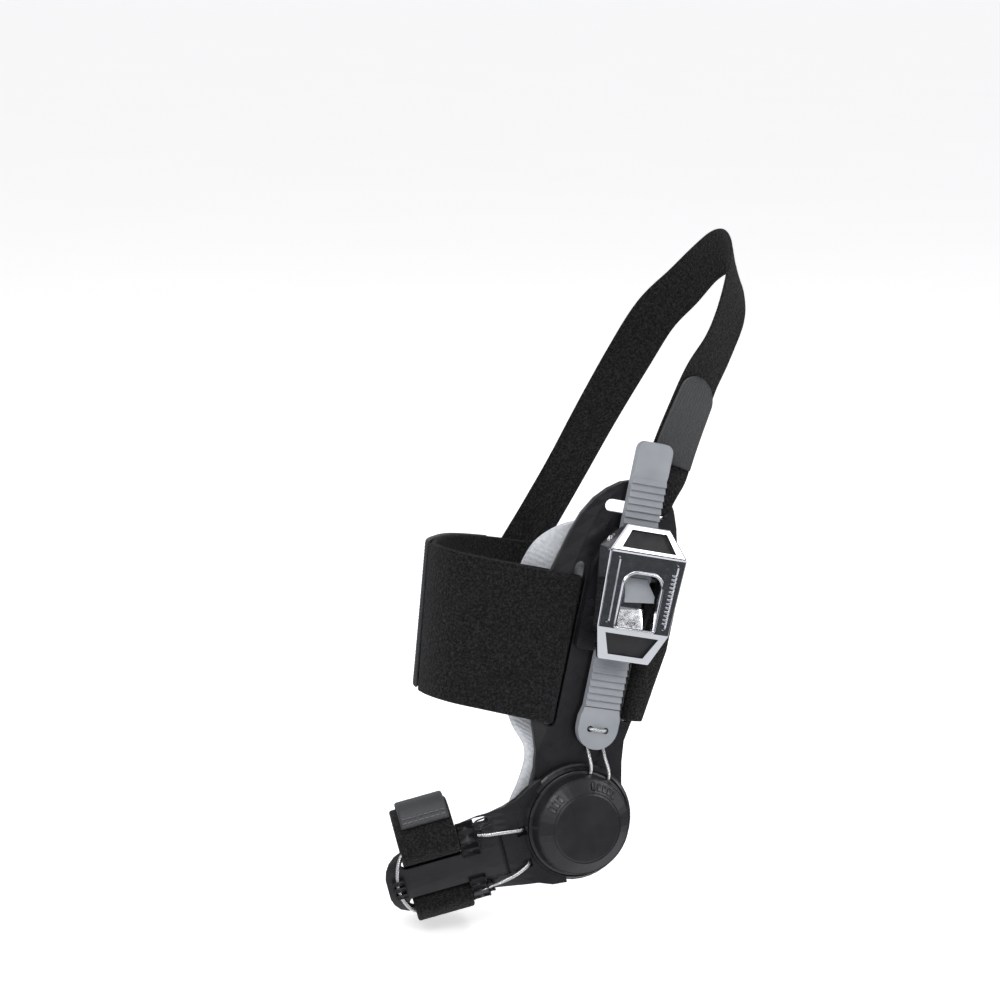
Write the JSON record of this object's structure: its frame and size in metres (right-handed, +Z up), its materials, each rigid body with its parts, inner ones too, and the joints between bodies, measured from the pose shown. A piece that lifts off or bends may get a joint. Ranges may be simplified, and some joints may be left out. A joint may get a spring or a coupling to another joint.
{
  "type": "bunion corrector",
  "caption": "Hinged bunion splint: padded slotted side plate, round hinge, curved toe arm, ratchet ladder and buckle with steel cable, and midfoot, heel and toe straps closed as worn.",
  "frame": {"origin": "on the toe hinge's axis, in the lining's skin side: the middle of the big toe joint's inner side", "axes": "+Y along the hinge axis into the foot, the outer side faces -Y; +Z up towards the heel end; the toe arm points to -X"},
  "size_m": [0.1418, 0.0975, 0.2247],
  "materials": {
    "black_plastic": "satin moulded",
    "dial_plastic": "fine satin",
    "insert_plastic": "matte",
    "grey_plastic": "satin",
    "chrome": "polished",
    "steel": "twisted wire",
    "fleece": "brushed loop pile",
    "hook_tape": "ribbed hook tape",
    "lining_fabric": "soft knit over foam"
  },
  "bodies": {
    "frame": {"main_plate": "black_plastic", "lining_pad": "lining_fabric", "hinge_cap": "dial_plastic", "buckle_base": "black_plastic", "buckle_pin": "steel", "tab_pin": "steel", "ratchet_ladder": "grey_plastic", "cable_upper": "steel", "midfoot_strap": "fleece", "midfoot_strap_hook": "hook_tape", "heel_strap": "fleece", "heel_strap_hook": "hook_tape"},
    "toe_arm": {"toe_arm": "black_plastic", "toe_strap": "fleece", "toe_strap_hook": "hook_tape", "cable_toe": "steel"},
    "lever": {"buckle_lever": "chrome", "lever_insert_top": "insert_plastic", "lever_insert_bottom": "insert_plastic", "lever_pawl": "chrome"},
    "release_tab": {"release_tab": "grey_plastic"}
  },
  "joints": [
    {"name": "toe_hinge", "type": "hinge", "parent": "frame", "child": "toe_arm", "pos_m": [0, 0, 0], "axis": [0, 1, 0], "range_deg": [-40, 8]},
    {"name": "lever_hinge", "type": "hinge", "parent": "frame", "child": "lever", "pos_m": [0.02099, -0.0143, 0.0947], "axis": [-0.9763, 0, 0.2164], "range_deg": [0, 30]},
    {"name": "release_tab_hinge", "type": "hinge", "parent": "frame", "child": "release_tab", "pos_m": [0.0184, -0.014, 0.08299], "axis": [-0.9763, 0, 0.2164], "range_deg": [0, 12], "stiffness_Nm_per_rad": 0.005, "springref_deg": -8.59}
  ]
}
